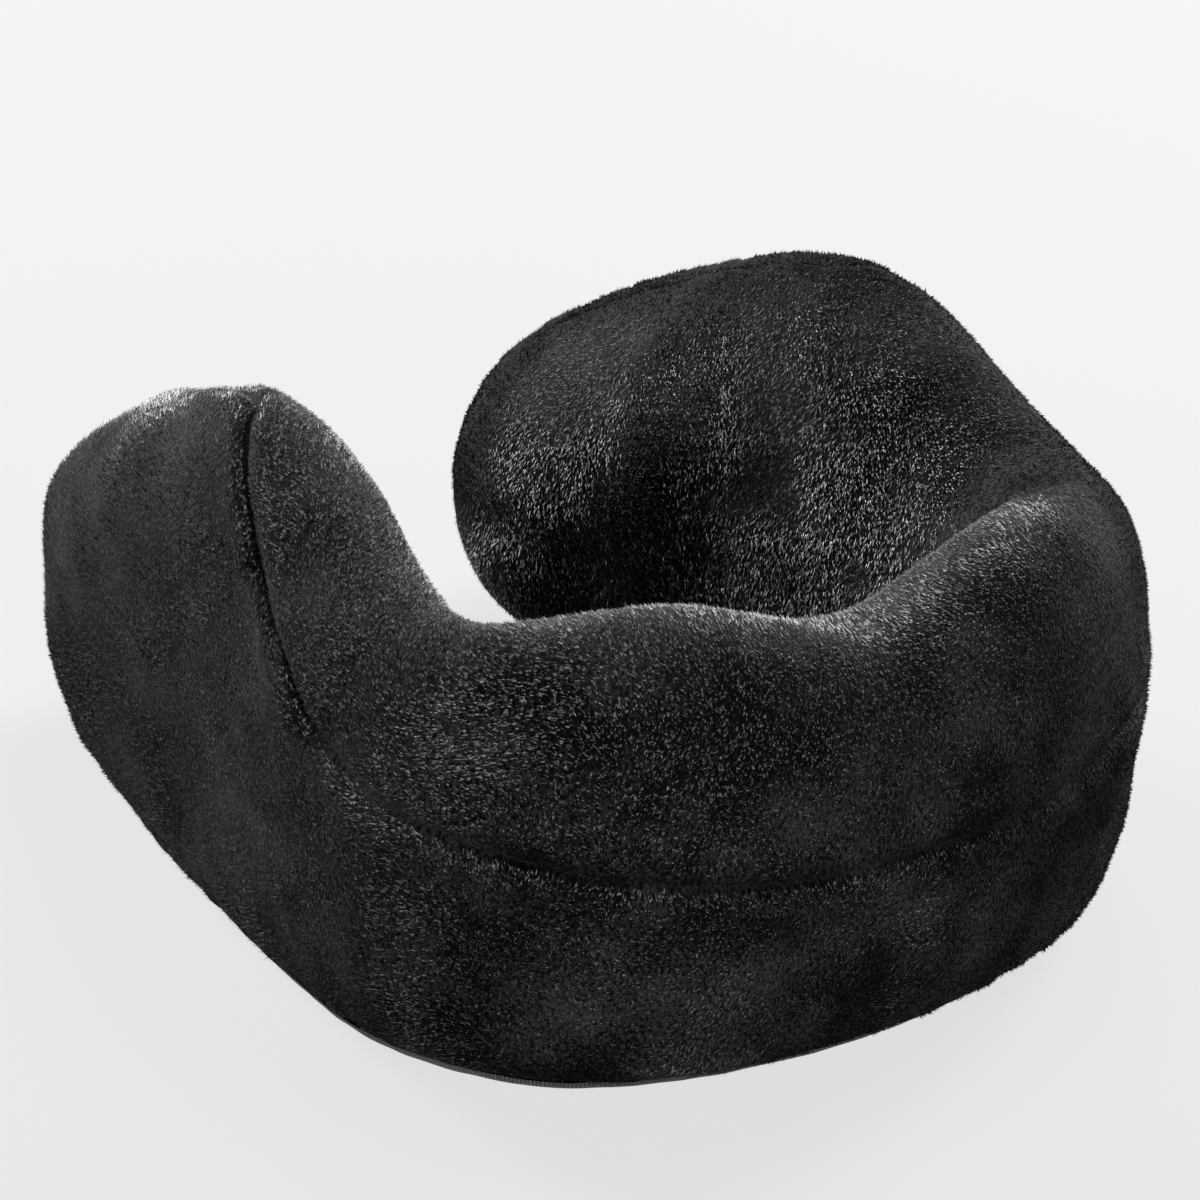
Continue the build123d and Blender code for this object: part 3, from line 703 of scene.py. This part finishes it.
def foam_material():
    """Open-cell foam: small pores and a faint yellowing."""
    n = Nodes("foam")
    place = n.place()
    cells = n.add("ShaderNodeTexVoronoi", {"Vector": place, "Scale": 900.0})
    patches = n.noise(place, 14.0, 3.0)
    n.set(Base_Color=n.ramp(patches, 0.3, 0.7, [(0.70, 0.65, 0.50), (0.82, 0.79, 0.70)]))
    n.set(Roughness=0.95, Specular_IOR_Level=0.1)
    n.set(Normal=n.bump(cells.outputs["Distance"], 0.6, 0.0006))
    return n.material


def coil_material():
    """Dyed nylon wire with fine drawing lines."""
    n = Nodes("zip_coil")
    lines = n.noise(n.place(), 1500.0, 2.0)
    n.set(Base_Color=n.ramp(lines, 0.3, 0.7, [(0.016, 0.016, 0.017), (0.03, 0.03, 0.032)]))
    n.set(Roughness=n.ramp(lines, 0.2, 0.8, [(0.3,) * 3, (0.42,) * 3]))
    n.set(Normal=n.bump(lines, 0.15, 0.0001))
    return n.material


def painted_metal():
    """Black paint over zinc, rubbed through a little along the edges."""
    n = Nodes("zip_metal")
    place = n.place()
    edge = n.add("ShaderNodeNewGeometry").outputs["Pointiness"]
    marks = n.noise(place, 700.0, 4.0)
    worn = n.add("ShaderNodeMath", {0: edge, 1: marks}, operation="ADD").outputs[0]
    n.set(Base_Color=n.ramp(worn, 1.02, 1.10, [(0.02, 0.02, 0.021), (0.22, 0.22, 0.22)]))
    n.set(Roughness=n.ramp(marks, 0.3, 0.7, [(0.28,) * 3, (0.4,) * 3]), Metallic=0.6)
    n.set(Normal=n.bump(marks, 0.08, 0.0001))
    return n.material


def thread_material():
    """Twisted polyester thread."""
    n = Nodes("thread")
    fibres = n.noise(n.place(), 2600.0, 2.0)
    n.set(Base_Color=n.ramp(fibres, 0.3, 0.7, [(0.008, 0.008, 0.009), (0.03, 0.03, 0.032)]))
    n.set(Roughness=0.7, Sheen_Weight=0.3, Normal=n.bump(fibres, 0.5, 0.0002))
    return n.material


def ribbon_material():
    """A blank woven ribbon."""
    n = Nodes("label_ribbon")
    ribs = n.add("ShaderNodeTexWave", {"Vector": n.place(), "Scale": 900.0, "Distortion": 1.0})
    n.set(Base_Color=n.ramp(ribs.outputs["Fac"], 0.2, 0.8, [(0.74, 0.74, 0.72), (0.86, 0.86, 0.84)]))
    n.set(Roughness=0.6, Normal=n.bump(ribs.outputs["Fac"], 0.4, 0.0001))
    return n.material


def dress(piece, material):
    piece.data.materials.clear()
    piece.data.materials.append(material)


PLUSH, FIBRE = plush_material(), fibre_material()
CLOTH = knit_material("base_cloth", (0.012,) * 3, (0.04,) * 3, 0.0011, 0.25, 0.0003)
TAPE = knit_material("zip_tape", (0.01,) * 3, (0.03,) * 3, 0.0007, 0.15, 0.0002)
LINER = knit_material("liner_knit", (0.70, 0.70, 0.68), (0.88, 0.88, 0.86), 0.0012, 0.2, 0.0003)
FOAM, COIL, METAL = foam_material(), coil_material(), painted_metal()
THREAD, RIBBON = thread_material(), ribbon_material()

PIECES = [
    (top, "cover_top_panel", PLUSH, "cover_plush", 0.95),
    (band, "cover_side_band", PLUSH, "cover_plush", 0.95),
    (fibres[0], "cover_top_panel", FIBRE, "cover_plush", None),
    (fibres[1], "cover_side_band", FIBRE, "cover_plush", None),
    (base, "cover_base_panel", CLOTH, "base_cloth", 0.9),
    (hem, "cover_base_panel", CLOTH, "base_cloth", None),
    (liner, "inner_liner", LINER, "liner_knit", 1.0),
    (core, "foam_core", FOAM, "foam", 1.0),
    (threads[0], "top_seam_thread", THREAD, "thread", None),
    (threads[1], "base_seam_thread_outer", THREAD, "thread", None),
    (threads[2], "base_seam_thread_neck", THREAD, "thread", None),
    (tapes[0], "zipper_tape_outer", TAPE, "zip_tape", None),
    (tapes[1], "zipper_tape_inner", TAPE, "zip_tape", None),
    (coils[0], "zipper_teeth_outer", COIL, "zip_coil", None),
    (coils[1], "zipper_teeth_inner", COIL, "zip_coil", None),
]
for piece, node, material, slot, fill in PIECES:
    dress(piece, material)
    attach(piece, "pillow")
    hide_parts(node)

KEPT = {
    "care_label": RIBBON,
    "zipper_stitching": THREAD,
    "zipper_top_stops": METAL,
    "zipper_bottom_stop": METAL,
    "zipper_slider": METAL,
    "zipper_crown": METAL,
    "zipper_pull": METAL,
}
for node, material in KEPT.items():
    dress(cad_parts[node], material)


# ------------------------------------------------------------ floor, light and camera
def floor():
    material = Nodes("pale_floor")
    material.set(Base_Color=(0.08, 0.08, 0.08, 1.0), Roughness=0.95, Specular_IOR_Level=0.05)
    material.set(Emission_Color=(1.0, 1.0, 1.0, 1.0), Emission_Strength=0.72)
    bpy.ops.mesh.primitive_plane_add(size=14.0, location=(0, 0, -0.0002))
    ground = bpy.context.object
    ground.name = "floor"
    dress(ground, material.material)
    ground.visible_diffuse = False       # the pale floor throws no light back on the cloth
    ground.visible_glossy = False


def softbox(name, place, aim, size, power):
    light = bpy.data.lights.new(name, "AREA")
    light.shape = "DISK"
    light.size = size
    light.energy = power
    lamp = bpy.data.objects.new(name, light)
    lamp.location = place
    lamp.rotation_euler = (Vector(aim) - Vector(place)).to_track_quat("-Z", "Y").to_euler()
    bpy.context.scene.collection.objects.link(lamp)


def lights():
    world = bpy.data.worlds.new("studio")
    world.use_nodes = True
    world.node_tree.nodes["Background"].inputs["Color"].default_value = (1.0, 1.0, 1.0, 1.0)
    world.node_tree.nodes["Background"].inputs["Strength"].default_value = 0.05
    bpy.context.scene.world = world
    bpy.context.scene.view_settings.view_transform = "Standard"
    softbox("top", (-0.5, -0.4, 1.7), (0, 0, 0.05), 0.8, 16.0)
    softbox("back_left", (0.6, -1.8, 0.7), (0, 0, 0.06), 0.7, 66.0)
    softbox("back_right", (-1.7, -0.4, 0.8), (0, 0, 0.06), 0.7, 46.0)
    softbox("front", (0.6, 1.7, 0.2), (0.03, 0, 0.06), 0.5, 20.0)


AZIMUTH, ELEVATION, ROLL = 143.04, 27.6, 3.8
LENS, DISTANCE = 141.2, 1.2
TARGET = Vector((0.0, (BACK_Y - 85.0) * MM, 0.055))
PAN_RIGHT, PAN_UP = -0.0098, 0.0172


def camera():
    a, e, r = (math.radians(v) for v in (AZIMUTH, ELEVATION, ROLL))
    back = Vector((math.sin(a) * math.cos(e), -math.cos(a) * math.cos(e), math.sin(e)))
    level = (-back).cross(Vector((0, 0, 1))).normalized()
    upright = level.cross(-back)
    right = level * math.cos(r) + upright * math.sin(r)
    up = -level * math.sin(r) + upright * math.cos(r)
    place = TARGET + back * DISTANCE + right * PAN_RIGHT + up * PAN_UP
    data = bpy.data.cameras.new("camera")
    data.lens = LENS
    data.sensor_width = 36.0
    viewer = bpy.data.objects.new("camera", data)
    rotation = Matrix((right, up, back)).transposed()
    viewer.matrix_world = Matrix.Translation(place) @ rotation.to_4x4()
    bpy.context.scene.collection.objects.link(viewer)
    bpy.context.scene.camera = viewer


floor()
lights()
camera()
